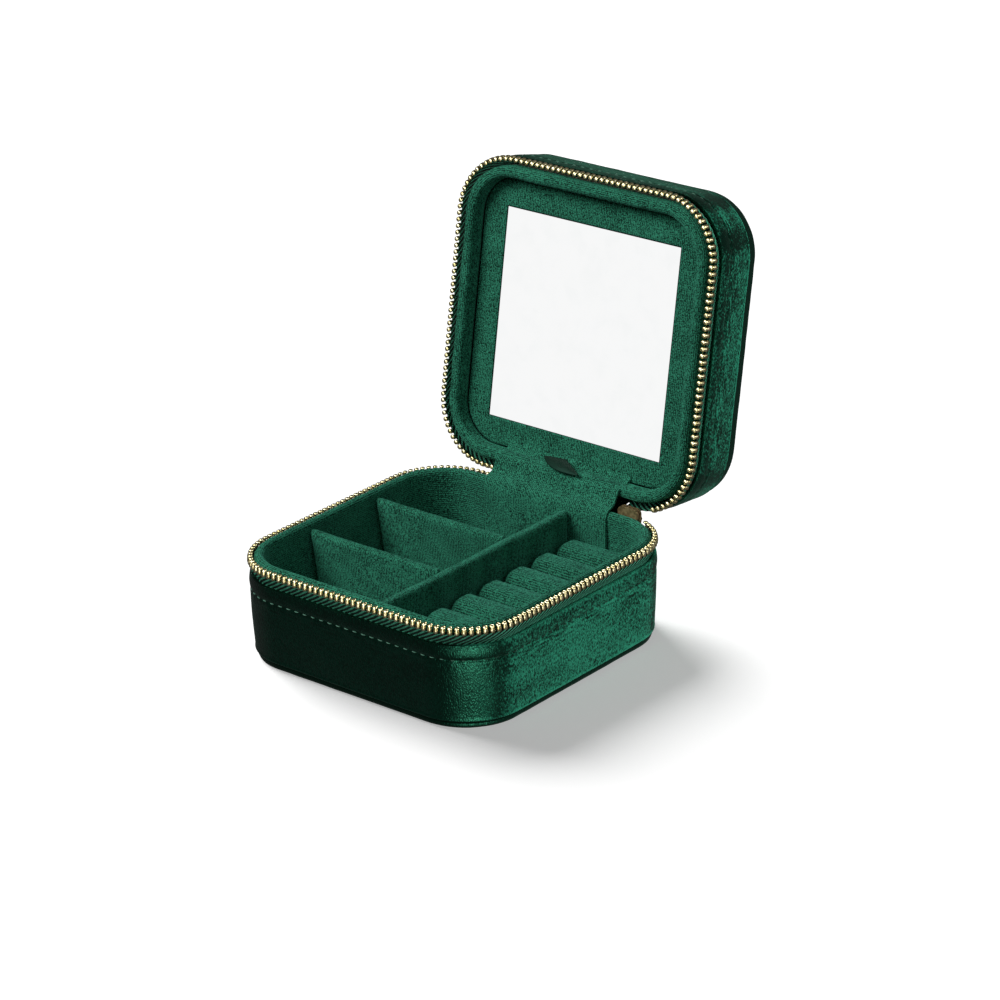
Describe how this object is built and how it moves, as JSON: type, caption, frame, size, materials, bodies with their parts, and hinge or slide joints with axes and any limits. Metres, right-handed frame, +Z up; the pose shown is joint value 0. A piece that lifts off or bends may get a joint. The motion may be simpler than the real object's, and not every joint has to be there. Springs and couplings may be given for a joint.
{
  "type": "travel jewelry case",
  "caption": "Small square velvet-covered travel jewelry case with rounded corners, a zip round three sides, padded ring rolls, divided compartments and a mirror in the hinged lid.",
  "frame": {"origin": "centre of the base's underside, on the surface the case stands on", "axes": "+X to the right seen from the front, +Y from the front to the hinge at the back, +Z up; the lid stands open at rest"},
  "size_m": [0.1014, 0.1437, 0.1332],
  "materials": {
    "outer_velvet": "deep emerald velvet, mottled by the lie of its pile",
    "inner_velvet": "matte green ribbed velvet lining",
    "zip_tape": "dark green herringbone woven tape",
    "board": "stiff grey-brown card board, hidden under the cloth",
    "gold_metal": "polished light gold",
    "mirror": "silvered flat glass",
    "ribbon": "dark green satin ribbon"
  },
  "bodies": {
    "base": {"base_bottom_panel": "outer_velvet", "base_wall_cover": "outer_velvet", "base_wall_board": "board", "base_zip_tape": "zip_tape", "base_zip_teeth": "gold_metal", "zip_slider": "gold_metal", "hinge_spine": "outer_velvet", "hinge_strip": "inner_velvet", "base_wall_liner": "inner_velvet", "base_floor_liner": "inner_velvet", "divider_long": "inner_velvet", "divider_cross_front": "inner_velvet", "divider_cross_back": "inner_velvet", "ring_bed_card": "board", "ring_roll_1": "inner_velvet", "ring_roll_2": "inner_velvet", "ring_roll_3": "inner_velvet", "ring_roll_4": "inner_velvet", "ring_roll_5": "inner_velvet", "ring_roll_6": "inner_velvet", "ring_roll_7": "inner_velvet"},
    "lid": {"lid_top_panel": "outer_velvet", "lid_wall_cover": "outer_velvet", "lid_wall_board": "board", "lid_zip_tape": "zip_tape", "lid_zip_teeth": "gold_metal", "lid_rim_roll": "inner_velvet", "lid_wall_liner": "inner_velvet", "lid_ceiling_liner": "inner_velvet", "mirror_panel": "inner_velvet", "mirror_glass": "mirror", "ribbon_tab": "ribbon"},
    "zip_pull": {"zip_pull": "gold_metal"}
  },
  "joints": [
    {"name": "lid_hinge", "type": "hinge", "parent": "base", "child": "lid", "pos_m": [0, 0.0506, 0.0335], "axis": [1, 0, 0], "range_deg": [0, 100], "deforming": ["hinge_spine", "hinge_strip"]},
    {"name": "zip_pull_swing", "type": "hinge", "parent": "base", "child": "zip_pull", "pos_m": [0.0295, 0.0532, 0.031], "axis": [1, 0, 0], "range_deg": [0, 60]}
  ]
}
